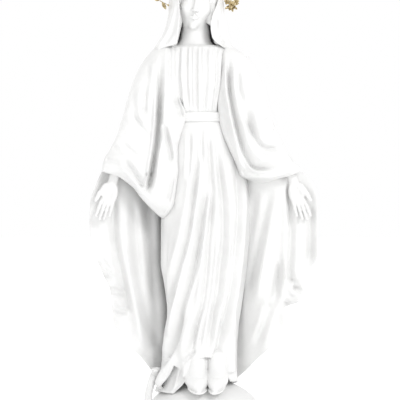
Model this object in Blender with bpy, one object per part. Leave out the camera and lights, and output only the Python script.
"""A standing Madonna figure, about 65 cm tall, as its separate castings.

Metres, +Z up, the figure faces -Y, and the middle of the base's underside is the origin.
The garments, head and hands are castings held by a tie rod and dowels, and the crown lifts off.
"""

import math

import bmesh
import bpy
import numpy as np
from mathutils import Matrix, Vector

MM = 0.001
GAP = 0.3 * MM  # kept between any two pieces that touch
CUT_MARGIN = 2.0 * MM  # how far a cutter reaches past the face that it cuts

# Base
PAD_RADIUS, PAD_THICK = 88 * MM, 2 * MM
PLINTH_RADIUS, PLINTH_TOP = 95 * MM, 24 * MM
GLOBE_RADIUS, GLOBE_HEIGHT, SEAT_Z = 85 * MM, 62 * MM, 82 * MM
SNAKE_RADIUS = 6 * MM

# Heights of the figure
HEM_Z = 80 * MM
FRONT_HEM_Z = 118 * MM
WAIST_Z = 453.5 * MM
BELT_HEIGHT = 13 * MM
SHOULDER_Z = 535 * MM
NECK_TOP_Z = 552 * MM
HEAD_CENTRE = Vector((-10, 0, 614)) * MM
HEAD_RADII = Vector((28.5, 35, 42)) * MM

# Fasteners
ROD_RADIUS, ROD_TOP = 4 * MM, 490 * MM
NUT_FLATS, NUT_HEIGHT = 13 * MM, 6.5 * MM
WASHER_RADIUS, WASHER_THICK = 8 * MM, 1.6 * MM
RECESS_RADIUS, RECESS_TOP = 14 * MM, 15 * MM
DOWEL_RADIUS, DOWEL_BOTTOM, DOWEL_TOP = 4 * MM, 530 * MM, 576 * MM
PIN_RADIUS, PIN_LENGTH = 1.5 * MM, 22 * MM

# Cloth
MANTLE_THICK = 5 * MM
SLEEVE_EDGE = 5 * MM
WRIST_X = {"left": -126 * MM, "right": 124 * MM}
WRIST_Z = 365 * MM

# Crown
CROWN_CENTRE = Vector((-10, 1, 631)) * MM
CROWN_RADII = (42 * MM, 50 * MM)
CROWN_TILT = math.radians(7)
CROWN_BAND = (1.2 * MM, 7 * MM)  # thickness and height
BLOSSOMS, LEAVES = 6, 12

# Half outlines, from the hem up: height, left edge, right edge, front and back, in millimetres.
SKIRT_OUTLINE = [
    (80, -60, 47, -46, 50), (119, -56, 46, -47, 50), (155, -51, 48, -45, 49), (185, -51, 52, -44, 49),
    (223, -56, 57, -44, 48), (250, -60, 60, -44, 48), (300, -60, 63, -43, 46), (350, -55, 60, -40, 43),
    (380, -49, 46, -36, 40), (420, -42, 29, -30, 32), (447, -39, 22, -26, 27),
]
BODICE_OUTLINE = [
    (460, -38, 21, -25, 26), (475, -45, 27, -29, 29), (505, -55, 36, -35, 33), (525, -56, 38, -33, 32),
    (537, -50, 32, -27, 27), (545, -38, 19, -20, 20), (552, -28, 9, -17, 18),
]
VEIL_OUTLINE = [
    (536.5, -80, 57, -24, 47), (545, -72, 44, -27, 46), (557, -66, 33, -31, 45), (577, -57, 28, -36, 45),
    (600, -51, 27, -39, 44), (616, -49, 26, -40, 44), (632, -46, 26, -39, 43), (645, -39, 23, -34, 38),
    (656, -30, 17, -26, 30), (663, -18, 8, -15, 19), (667, -8, 0, -5, 8),
]
# Height, outer edge and inner edge of the cloth that each arm carries, in millimetres.
LEFT_SLEEVE = [
    (311, -59, -55), (316, -65, -50), (329, -78, -42), (340, -88, -40), (353, -98, -38), (361, -108, -37),
    (368, -118, -36), (376, -140, -35), (392, -137, -39), (406, -129, -43), (428, -119, -48),
    (460, -110, -57.5), (500, -100, -57.5), (520, -91, -57.5), (535, -80, -57.5),
]
RIGHT_SLEEVE = [
    (357, 82, 76), (360, 90, 68), (365, 103, 58), (370, 121, 51), (377, 134, 48), (390, 121, 46),
    (405, 112, 43), (430, 100, 37), (460, 90, 31), (500, 80, 26), (520, 70, 26), (535, 58, 26),
]
# Height, left edge and right edge of the mantle behind the figure, in millimetres.
MANTLE_OUTLINE = [
    (86, -62, 46), (95, -71, 56), (116, -86, 75), (134, -102, 93), (151, -113, 107), (164, -125, 111),
    (186, -127, 110), (198, -128, 134), (214, -130, 139), (224, -135, 136), (231, -139, 140),
    (248, -146, 152), (262, -151, 157), (308, -158, 157), (332, -157, 157), (360, -148, 150),
    (380, -139, 131), (406, -128, 112), (428, -118, 101), (460, -109, 90), (500, -99, 80), (520, -90, 70),
    (534, -80, 58),
]

COLOURS = {
    "stone": (0.86, 0.86, 0.84, 0.55, 0.0),
    "felt": (0.06, 0.12, 0.07, 0.95, 0.0),
    "steel": (0.55, 0.56, 0.58, 0.35, 1.0),
    "wood": (0.62, 0.45, 0.28, 0.6, 0.0),
    "gilt": (0.80, 0.62, 0.28, 0.28, 1.0),
}


def clear_scene():
    for thing in list(bpy.data.objects):
        bpy.data.objects.remove(thing, do_unlink=True)


def finish(thing, kind):
    """Gives a piece its own material."""
    red, green, blue, rough, metal = COLOURS[kind]
    material = bpy.data.materials.new(f"{thing.name}_{kind}")
    material.use_nodes = True
    shader = material.node_tree.nodes["Principled BSDF"]
    shader.inputs["Base Color"].default_value = (red, green, blue, 1)
    shader.inputs["Roughness"].default_value = rough
    shader.inputs["Metallic"].default_value = metal
    thing.data.materials.clear()
    thing.data.materials.append(material)
    return thing


def add_mesh(name, points, faces):
    mesh = bpy.data.meshes.new(name)
    mesh.from_pydata([tuple(p) for p in points], [], faces)
    mesh.update()
    thing = bpy.data.objects.new(name, mesh)
    bpy.context.scene.collection.objects.link(thing)
    return thing


def outward(thing):
    """Turns every face of a closed mesh outward."""
    bm = bmesh.new()
    bm.from_mesh(thing.data)
    bmesh.ops.recalc_face_normals(bm, faces=bm.faces)
    bm.to_mesh(thing.data)
    bm.free()
    return thing


def read_outline(outline, z):
    """The outline's columns at height z, on a smooth curve through its rows, in metres."""
    rows = np.array(outline, float) * MM
    heights = rows[:, 0]
    slopes = np.gradient(rows, heights, axis=0)
    z = min(max(z, heights[0]), heights[-1])
    i = min(max(int(np.searchsorted(heights, z)) - 1, 0), len(heights) - 2)
    step = heights[i + 1] - heights[i]
    t = (z - heights[i]) / step
    value = (2 * t**3 - 3 * t**2 + 1) * rows[i] + (t**3 - 2 * t**2 + t) * step * slopes[i]
    value = value + (3 * t**2 - 2 * t**3) * rows[i + 1] + (t**3 - t**2) * step * slopes[i + 1]
    low, high = np.minimum(rows[i], rows[i + 1]), np.maximum(rows[i], rows[i + 1])
    return np.clip(value, low, high)[1:]


def ring(outline, z, count, grow=0.0):
    """A level oval of count points through the outline's left, right, front and back at height z."""
    left, right, front, back = read_outline(outline, z)
    middle, half = (left + right) / 2, (right - left) / 2 + grow
    points = []
    for k in range(count):
        angle = 2 * math.pi * k / count
        depth = back + grow if math.sin(angle) > 0 else grow - front
        points.append(Vector((middle + half * math.cos(angle), depth * math.sin(angle), z)))
    return points


def stack(name, rings):
    """A closed solid through rings of equal counts, with flat ends."""
    count = len(rings[0])
    points = [p for level in rings for p in level]
    faces = [tuple(range(count))[::-1]]
    for level in range(len(rings) - 1):
        for k in range(count):
            a, b = level * count + k, level * count + (k + 1) % count
            faces.append((a, b, b + count, a + count))
    faces.append(tuple(range(len(points) - count, len(points))))
    return outward(add_mesh(name, points, faces))


def round_ring(radius, z, count, centre=(0, 0)):
    """Points round a level circle."""
    points = []
    for k in range(count):
        angle = 2 * math.pi * k / count
        points.append(Vector((centre[0] + radius * math.cos(angle), centre[1] + radius * math.sin(angle), z)))
    return points


def turned(name, profile, count=48, centre=(0, 0)):
    """A closed solid turned about a vertical line, from (radius, height) pairs going up."""
    return stack(name, [round_ring(radius, z, count, centre) for radius, z in profile])


def sheet_solid(name, front, back):
    """A closed solid between two grids of points that face each other."""
    rows, cols = len(front), len(front[0])
    points = [p for row in front for p in row] + [p for row in back for p in row]
    behind = rows * cols
    faces = []
    for i in range(rows - 1):
        for j in range(cols - 1):
            a = i * cols + j
            faces.append((a, a + 1, a + cols + 1, a + cols))
            faces.append((a + behind, a + cols + behind, a + cols + 1 + behind, a + 1 + behind))
    border = [j for j in range(cols)]
    border += [i * cols + cols - 1 for i in range(1, rows)]
    border += [(rows - 1) * cols + j for j in range(cols - 2, -1, -1)]
    border += [i * cols for i in range(rows - 2, 0, -1)]
    for a, b in zip(border, border[1:] + border[:1]):
        faces.append((a, a + behind, b + behind, b))
    return outward(add_mesh(name, points, faces))


def sweep(name, path, radii, sides=8):
    """A closed round bar along a path, with its own radius at each point."""
    levels = []
    side = Vector((0, 0, 1))
    for i, point in enumerate(path):
        along = (path[min(i + 1, len(path) - 1)] - path[max(i - 1, 0)]).normalized()
        side = (side - along * side.dot(along)).normalized()
        other = along.cross(side)
        turn = [2 * math.pi * k / sides for k in range(sides)]
        levels.append([point + radii[i] * (math.cos(a) * side + math.sin(a) * other) for a in turn])
    return stack(name, levels)


def fuse(name, pieces, voxel):
    """Joins overlapping solids into one skin."""
    with bpy.context.temp_override(active_object=pieces[0], selected_editable_objects=pieces):
        bpy.ops.object.join()
    whole = pieces[0]
    whole.name = name
    remesh = whole.modifiers.new("one skin", "REMESH")
    remesh.mode = "VOXEL"
    remesh.voxel_size = voxel
    return whole


def ball(radii, centre, turn=None):
    """A closed egg of the given half sizes."""
    bm = bmesh.new()
    bmesh.ops.create_uvsphere(bm, u_segments=18, v_segments=10, radius=1)
    place = Matrix.Translation(centre) @ (turn or Matrix.Identity(4)) @ Matrix.Diagonal((*radii, 1))
    bmesh.ops.transform(bm, matrix=place, verts=bm.verts)
    mesh = bpy.data.meshes.new("ball")
    bm.to_mesh(mesh)
    bm.free()
    thing = bpy.data.objects.new("ball", mesh)
    bpy.context.scene.collection.objects.link(thing)
    return thing


def cut(thing, cutter):
    """Takes a cutter's shape out of a piece."""
    cutter.hide_render = True
    cutter.display_type = "WIRE"
    difference = thing.modifiers.new(f"cut {cutter.name}", "BOOLEAN")
    difference.operation = "DIFFERENCE"
    difference.object = cutter
    return thing


def bore(thing, radius, low, high, centre=(0, 0)):
    """Takes an upright round hole out of a piece."""
    name = f"bore_{thing.name}_{len(thing.modifiers)}"
    return cut(thing, turned(name, [(radius, low), (radius, high)], 20, centre))


def globe_radius(z):
    return GLOBE_RADIUS * math.sqrt(max(0, 1 - ((z - PLINTH_TOP) / GLOBE_HEIGHT) ** 2))


def gown_front(x, z):
    """The foremost place that the gown may take at (x, z), or the figure's middle beside it."""
    outline = SKIRT_OUTLINE if z < WAIST_Z else BODICE_OUTLINE
    left, right, front, _ = read_outline(outline, z)
    middle, half = (left + right) / 2, (right - left) / 2 + 3 * MM
    off = abs(x - middle) / half
    return (front - 3 * MM) * math.sqrt(1 - off**2) if off < 1 else 0.0


def beside_gown(x, z):
    """0 over the gown, growing to 1 a little way past its side."""
    outline = SKIRT_OUTLINE if z < WAIST_Z else BODICE_OUTLINE
    left, right, _, _ = read_outline(outline, z)
    past = max(left - x, x - right) - 4 * MM
    return min(max(past / (10 * MM), 0), 1)


def mantle_front(x, z):
    """The inner face of the mantle, which hangs behind the figure and comes forward at its edges."""
    behind = 0.038 + 0.016 * min(1, (SHOULDER_Z - z) / 0.12) + 0.010 * (SHOULDER_Z - z) / SHOULDER_Z
    out = min(max((abs(x + 4 * MM) - 0.045) / 0.110, 0), 1)
    lower = min(max((0.34 - z) / 0.25, 0), 1)
    wave = 4 * MM * lower * out * math.sin(x / (9 * MM) + 5 * z)
    return behind - (behind + 0.020) * out**1.25 + wave


def sleeve_faces(outline, x, z):
    """Front and back of the cloth that an arm carries."""
    outer, inner = read_outline(outline, z)
    s = (x - outer) / (inner - outer)
    size = min(1, abs(outer - inner) / 0.05)
    reach = min(max((0.54 - z) / 0.16, 0), 1)
    at_outer = mantle_front(outer, z) - 1.5 * MM - SLEEVE_EDGE - 0.012 * reach
    at_inner = gown_front(inner, z) - SLEEVE_EDGE - 2 * MM
    low = min(max((0.385 - z) / 0.03, 0), 1)
    at_outer += (at_inner - at_outer) * 0.85 * low
    bulge = (0.014 + 0.008 * reach) * size * math.sqrt(max(0.0, math.sin(math.pi * s)))
    front = at_outer + (at_inner - at_outer) * s - bulge
    covered = min(mantle_front(x, z) - 1.5 * MM, gown_front(x, z) - 1.0 * MM)
    open_side = mantle_front(x, z) - 1.5 * MM
    deep = covered + (open_side - covered) * beside_gown(x, z)
    thin = min(front + SLEEVE_EDGE + 0.35 * bulge, covered)
    filled = min(max((z - 0.375) / 0.02, 0), 1)
    back = max(thin + (deep - thin) * filled, front + SLEEVE_EDGE * 0.6)
    return front, back


def make_base():
    finish(turned("felt_pad", [(PAD_RADIUS, 0), (PAD_RADIUS, PAD_THICK)]), "felt")

    low, edge = PAD_THICK + GAP, 3 * MM
    plinth = turned("plinth", [
        (PLINTH_RADIUS - edge, low), (PLINTH_RADIUS, low + edge), (PLINTH_RADIUS, 14 * MM),
        (PLINTH_RADIUS - 4 * MM, 16 * MM), (PLINTH_RADIUS - 5 * MM, PLINTH_TOP - 2 * MM),
        (PLINTH_RADIUS - 7 * MM, PLINTH_TOP),
    ], 40)
    bore(plinth, ROD_RADIUS + GAP, 0, PLINTH_TOP + CUT_MARGIN)
    bore(plinth, RECESS_RADIUS, 0, RECESS_TOP)
    finish(plinth, "stone")

    steps = [PLINTH_TOP + GAP + (SEAT_Z - PLINTH_TOP - GAP) * (k / 8) for k in range(9)]
    globe = turned("globe", [(globe_radius(z), z) for z in steps], 40)
    bore(globe, ROD_RADIUS + GAP, 0, SEAT_Z + CUT_MARGIN)
    finish(globe, "stone")


def make_serpent():
    """A serpent that lies round the front of the globe and lifts its head at the figure's right."""
    path, radii, count = [], [], 44
    for k in range(count + 1):
        t = k / count
        angle = math.radians(35 - 212 * t)
        z = PLINTH_TOP + (9 + 13 * t + 3 * math.sin(9 * t)) * MM
        thick = SNAKE_RADIUS * min(1, 0.25 + 1.6 * t)
        r = globe_radius(z)
        normal = Vector((math.cos(angle) / GLOBE_RADIUS, math.sin(angle) / GLOBE_RADIUS, 0))
        normal.z = (z - PLINTH_TOP) / GLOBE_HEIGHT**2
        normal.xy = normal.xy * (r / GLOBE_RADIUS)
        normal.normalize()
        lift = max(0, (t - 0.86) / 0.14)
        point = Vector((r * math.cos(angle), r * math.sin(angle), z)) + normal * (thick + 1.2 * MM)
        point.z += 30 * MM * lift**1.5
        point.x += 6 * MM * lift**2
        path.append(point)
        head = math.exp(-(((t - 0.965) / 0.028) ** 2))
        nose = max(0, (t - 0.975) / 0.025)
        radii.append(thick * (1 + 0.25 * head) * (1 - 0.62 * nose) if t < 1 else thick * 0.36)
    finish(sweep("serpent", path, radii), "stone")


def make_skirt():
    """The gown below the belt: a casting with a hollow hem and a stump that stands on the globe."""
    count, levels = 60, 12
    waist = WAIST_Z - GAP / 2
    outer_top = WAIST_Z - BELT_HEIGHT / 2
    rings = []

    def hem_height(angle):
        front = math.exp(-(((math.degrees(angle) - 275) / 34) ** 2))
        return HEM_Z + (FRONT_HEM_Z - HEM_Z) * front

    def cloth_ring(share, inset, lift):
        points = []
        for k, level in enumerate(ring(SKIRT_OUTLINE, outer_top, count)):
            angle = 2 * math.pi * k / count
            bottom = hem_height(angle) + lift
            z = outer_top + (bottom - outer_top) * share
            flat = ring(SKIRT_OUTLINE, z, count)[k]
            pleat = 1.6 * MM * share * math.cos(15 * angle + 14 * share)
            left, right, _, _ = read_outline(SKIRT_OUTLINE, z)
            away = flat - Vector(((left + right) / 2, 0, z))
            points.append(flat + away.normalized() * (pleat - inset))
        return points

    middle = -8.5 * MM
    top_ring = ring(SKIRT_OUTLINE, outer_top, count)
    core = [Vector(((p.x - middle) * 0.9 + middle, p.y * 0.9, waist)) for p in top_ring]
    neck = [Vector((p.x, p.y, outer_top)) for p in core]
    rings = [core, neck] + [cloth_ring(k / levels, 0, 0) for k in range(levels + 1)]
    rings.append(cloth_ring(1, 5 * MM, 0.5 * MM))
    ceiling = 128 * MM
    inner = [Vector((p.x * 0.82, p.y * 0.82, ceiling)) for p in cloth_ring(1, 5 * MM, 0)]
    rings += [inner, round_ring(24 * MM, ceiling, count), round_ring(26 * MM, SEAT_Z + GAP, count)]
    skirt = stack("skirt", rings[::-1])
    bore(skirt, ROD_RADIUS + GAP, SEAT_Z - CUT_MARGIN, WAIST_Z + CUT_MARGIN)
    finish(skirt, "stone")


def make_bodice_and_belt():
    count = 36
    low = WAIST_Z + GAP / 2
    shelf = WAIST_Z + BELT_HEIGHT / 2
    first = ring(BODICE_OUTLINE, shelf, count)
    core = [Vector(((p.x + 8.5 * MM) * 0.88 - 8.5 * MM, p.y * 0.88, low)) for p in first]
    neck = [Vector((p.x, p.y, shelf)) for p in core]
    levels = [shelf + (NECK_TOP_Z - shelf) * k / 8 for k in range(9)]
    bodice = stack("bodice", [core, neck] + [ring(BODICE_OUTLINE, z, count) for z in levels])
    bore(bodice, ROD_RADIUS + GAP, WAIST_Z - CUT_MARGIN, ROD_TOP + CUT_MARGIN)
    centre = (HEAD_CENTRE.x, HEAD_CENTRE.y)
    bore(bodice, DOWEL_RADIUS + GAP, DOWEL_BOTTOM - GAP, NECK_TOP_Z + CUT_MARGIN, centre)
    finish(bodice, "stone")

    half = BELT_HEIGHT / 2 - GAP
    outer = ring(SKIRT_OUTLINE, 447 * MM, count, 1.2 * MM)
    inner = ring(SKIRT_OUTLINE, 447 * MM, count, -1.4 * MM)
    loops = [(outer, -half), (outer, half), (inner, half), (inner, -half)]
    points = [Vector((p.x, p.y, WAIST_Z + lift)) for loop, lift in loops for p in loop]
    faces = []
    for level in range(4):
        for k in range(count):
            a, b = level * count + k, level * count + (k + 1) % count
            up = count if level < 3 else -3 * count
            faces.append((a, b, b + up, a + up))
    finish(outward(add_mesh("belt", points, faces)), "stone")


def panel(name, heights, cols, edges, faces_at, kind="stone"):
    """A cloth piece whose front and back are read at a grid of places between its two edges."""
    front, back = [], []
    for z in heights:
        low, high = edges(z)
        front_row, back_row = [], []
        for j in range(cols + 1):
            x = low + (high - low) * (0.5 - 0.5 * math.cos(math.pi * j / cols))
            near, far = faces_at(x, z)
            front_row.append(Vector((x, near, z)))
            back_row.append(Vector((x, far, z)))
        front.append(front_row)
        back.append(back_row)
    return finish(sheet_solid(name, front, back), kind)


def make_mantle():
    heights = [86 * MM + (SHOULDER_Z - MM - 86 * MM) * k / 24 for k in range(25)]

    def faces_at(x, z):
        near = mantle_front(x, z)
        return near, near + MANTLE_THICK

    return panel("mantle", heights, 26, lambda z: read_outline(MANTLE_OUTLINE, z), faces_at)


def make_sleeves():
    for side, outline in (("left", LEFT_SLEEVE), ("right", RIGHT_SLEEVE)):
        low, high = outline[0][0] * MM, outline[-1][0] * MM
        heights = [low + (high - low) * (k / 20) ** 1.35 for k in range(21)]
        sleeve = panel(
            f"{side}_sleeve", heights, 12,
            lambda z, o=outline: read_outline(o, z),
            lambda x, z, o=outline: sleeve_faces(o, x, z),
        )
        pin = wrist_place(side)
        bore(sleeve, PIN_RADIUS + GAP, pin.z - 30 * MM, pin.z + PIN_LENGTH / 2 + GAP, (pin.x, pin.y))


def wrist_place(side):
    """The middle of the pin that holds a hand, in the cloth above the wrist."""
    outline = LEFT_SLEEVE if side == "left" else RIGHT_SLEEVE
    x, z = WRIST_X[side], 382 * MM
    front, back = sleeve_faces(outline, x, z)
    return Vector((x, min((front + back) / 2, front + 9 * MM), z - 8 * MM))


def make_hands():
    """Open hands, palms to the front and fingers down, each on a pin in its sleeve."""
    for side, way in (("left", -1), ("right", 1)):
        pin = wrist_place(side)
        wrist = Vector((pin.x, pin.y, WRIST_Z - 5 * MM))
        lean = Matrix.Rotation(-way * math.radians(15), 4, "Y")

        def place(x, y, z, at=wrist, lean=lean, way=way):
            return at + lean @ Vector((way * x, y, z)) * MM

        def turn(degrees, lean=lean, way=way):
            return lean @ Matrix.Rotation(-way * math.radians(degrees), 4, "Y")

        pieces = [
            ball((7 * MM, 6 * MM, 9 * MM), place(0, 0, 0)),
            ball((9.5 * MM, 5 * MM, 15 * MM), place(1, 0, -15), turn(4)),
            ball((4 * MM, 4 * MM, 12 * MM), place(10, -1, -13), turn(32)),
            ball((3 * MM, 3.2 * MM, 9 * MM), place(16, -2, -23), turn(30)),
        ]
        for k, length in enumerate((15, 18, 17, 13)):
            x = 7.0 - 4.6 * k
            finger = (2.9 * MM, 3 * MM, length * MM * 0.75)
            pieces.append(ball(finger, place(x, -1, -25 - length * 0.5), turn(2 - 3 * k)))
        hand = fuse(f"{side}_hand", pieces, 2.6 * MM)
        bore(hand, PIN_RADIUS + GAP, pin.z - PIN_LENGTH / 2 - GAP, pin.z + 30 * MM, (pin.x, pin.y))
        finish(hand, "stone")
        low, high = pin.z - PIN_LENGTH / 2, pin.z + PIN_LENGTH / 2
        peg = turned(f"{side}_wrist_pin", [(PIN_RADIUS, low), (PIN_RADIUS, high)], 16, (pin.x, pin.y))
        finish(peg, "steel")


def make_shoes():
    """The toes of two shoes under the raised front of the hem."""
    for side, x, turn in (("left", -13, 6), ("right", 11, -9)):
        slope = Matrix.Rotation(math.radians(turn), 4, "Z") @ Matrix.Rotation(math.radians(14), 4, "X")
        shoe = ball((9.5 * MM, 18 * MM, 9 * MM), Vector((x, -50, 88)) * MM, slope)
        shoe.name = f"{side}_shoe"
        finish(shoe, "stone")


def make_head():
    centre = HEAD_CENTRE
    neck_shape = [(16 * MM, NECK_TOP_Z + GAP), (15 * MM, 575 * MM), (15 * MM, 600 * MM)]
    neck = turned("neck", neck_shape, 24, centre.xy)
    skull = ball(HEAD_RADII, centre)
    jaw = ball((20 * MM, 18 * MM, 18 * MM), centre + Vector((0, -15, -20)) * MM)
    nose = ball((4 * MM, 6 * MM, 8 * MM), centre + Vector((0, -35, -4)) * MM)
    head = fuse("head", [skull, neck, jaw, nose], 5 * MM)
    bore(head, DOWEL_RADIUS + GAP, NECK_TOP_Z - 5 * MM, DOWEL_TOP + GAP, centre.xy)
    finish(head, "stone")
    dowel = turned("neck_dowel", [(DOWEL_RADIUS, DOWEL_BOTTOM), (DOWEL_RADIUS, DOWEL_TOP)], 20, centre.xy)
    finish(dowel, "wood")


def make_hair_and_veil():
    """Two hoods over the head, each hollow and open at the face."""
    count = 36
    centre = HEAD_CENTRE
    inside = ball(HEAD_RADII + Vector((2.3, 2.3, 2.3)) * MM, centre)
    hair = ball(HEAD_RADII + Vector((3.8, 3.8, 3.0)) * MM, centre)
    hair.name = "hair"
    cut(hair, inside)
    face = ball(Vector((24, 40, 42)) * MM, centre + Vector((3, -30, -6)) * MM)
    cut(hair, face)
    floor = turned("hair_floor", [(80 * MM, 540 * MM), (80 * MM, 586 * MM)], 24)
    cut(hair, floor)
    finish(hair, "stone")

    low, top = VEIL_OUTLINE[0][0] * MM, VEIL_OUTLINE[-1][0] * MM
    levels = [low + (top - low) * (1 - (1 - k / 13) ** 1.5) for k in range(14)]
    veil = stack("veil", [ring(VEIL_OUTLINE, z, count) for z in levels])
    wall = 2.5 * MM
    below = [low - 5 * MM] + [low + (top - wall - low) * (1 - (1 - k / 11) ** 1.5) for k in range(1, 12)]
    room = stack("veil_room", [ring(VEIL_OUTLINE, min(z + 1.5 * MM, top), count, -wall)[:] for z in below])
    for vertex in room.data.vertices:
        vertex.co.z -= 1.5 * MM
    cut(veil, room)
    opening = ball(Vector((30, 60, 56)) * MM, centre + Vector((3, -62, -18)) * MM)
    cut(veil, opening)
    throat = ball(Vector((40, 45, 40)) * MM, Vector((-7, -45, 545)) * MM)
    cut(veil, throat)
    finish(veil, "stone")


def make_fasteners():
    washer_low = RECESS_TOP - GAP - WASHER_THICK
    nut_low = washer_low - GAP - NUT_HEIGHT
    finish(turned("tie_rod", [(ROD_RADIUS, nut_low - 1.5 * MM), (ROD_RADIUS, ROD_TOP)], 20), "steel")
    washer = turned("washer", [(WASHER_RADIUS, washer_low), (WASHER_RADIUS, washer_low + WASHER_THICK)], 24)
    bore(washer, ROD_RADIUS + GAP, 0, PLINTH_TOP)
    finish(washer, "steel")
    corner = NUT_FLATS / math.sqrt(3)
    nut = turned("nut", [(corner, nut_low), (corner, nut_low + NUT_HEIGHT)], 6)
    bore(nut, ROD_RADIUS + GAP, 0, PLINTH_TOP)
    finish(nut, "steel")


def crown_point(angle, out=0.0, up=0.0):
    """A place on the tilted ring of the crown, out from its middle line and up from it."""
    flat = Vector(((CROWN_RADII[0] + out) * math.cos(angle), (CROWN_RADII[1] + out) * math.sin(angle), up))
    return CROWN_CENTRE + Matrix.Rotation(-CROWN_TILT, 3, "X") @ flat


def make_crown():
    """A gilt wreath: a band, two twigs wound along it, leaves and five-petalled blossoms."""
    count = 40
    thick, height = CROWN_BAND
    corners = [(0, -height / 2), (thick, -height / 2), (thick, height / 2), (0, height / 2)]
    points = [crown_point(2 * math.pi * k / count, out, up) for out, up in corners for k in range(count)]
    faces = []
    for level in range(4):
        for k in range(count):
            a, b = level * count + k, level * count + (k + 1) % count
            onward = count if level < 3 else -3 * count
            faces.append((a, b, b + onward, a + onward))
    finish(outward(add_mesh("crown_band", points, faces)), "gilt")

    for k in range(LEAVES):
        make_leaf(k, 2 * math.pi * (k + 0.5) / LEAVES)
    for k in range(BLOSSOMS):
        make_blossom(k, 2 * math.pi * (k + 0.02) / BLOSSOMS)


def make_leaf(index, angle):
    """A pointed leaf that stands just off the band and leans outward."""
    root = crown_point(angle, CROWN_BAND[0] + GAP + 0.3 * MM, 0)
    away = (crown_point(angle, 10 * MM) - crown_point(angle)).normalized()
    along = (crown_point(angle + 0.05) - crown_point(angle - 0.05)).normalized()
    up = away.cross(along)
    way = 1 if index % 2 else -1
    points, faces, steps = [], [], 8
    for face in (0, 1):
        for k in range(steps + 1):
            t = k / steps
            half = 2.9 * MM * math.sin(math.pi * min(0.97, 0.08 + 0.89 * t))
            middle = root + up * (way * 11 * MM * t) + away * (5.5 * MM * t**1.5 + 0.8 * MM * face)
            points += [middle - along * half, middle + along * half]
    side = 2 * (steps + 1)
    for k in range(steps):
        a = 2 * k
        faces += [(a, a + 1, a + 3, a + 2), (a + side, a + 2 + side, a + 3 + side, a + 1 + side)]
        faces += [(a, a + 2, a + 2 + side, a + side), (a + 1, a + 1 + side, a + 3 + side, a + 3)]
    faces += [(0, side, side + 1, 1), (side - 2, side - 1, 2 * side - 1, 2 * side - 2)]
    finish(outward(add_mesh(f"crown_leaf_{index + 1:02d}", points, faces)), "gilt")


def make_blossom(index, angle):
    """A five-petalled blossom that faces away from the head."""
    away = (crown_point(angle, 10 * MM) - crown_point(angle)).normalized()
    along = (crown_point(angle + 0.05) - crown_point(angle - 0.05)).normalized()
    up = away.cross(along)
    rings, count = [], 20
    centre = crown_point(angle, CROWN_BAND[0] + GAP + 0.6 * MM, 0)
    for size, lift in ((1.2, 0), (3.4, 0.4), (6.0, 2.6), (6.0, 3.4), (2.6, 1.8), (1.2, 3.2)):
        level = []
        for k in range(count):
            turn = 2 * math.pi * k / count
            petal = 1 + 0.32 * math.cos(5 * turn) * (size > 2)
            spoke = along * math.cos(turn) + up * math.sin(turn)
            level.append(centre + away * (lift * MM) + spoke * (size * petal * MM))
        rings.append(level)
    finish(stack(f"crown_blossom_{index + 1}", rings), "gilt")


def main():
    clear_scene()
    make_base()
    make_serpent()
    make_skirt()
    make_bodice_and_belt()
    make_mantle()
    make_sleeves()
    make_hands()
    make_shoes()
    make_head()
    make_hair_and_veil()
    make_fasteners()
    make_crown()


main()
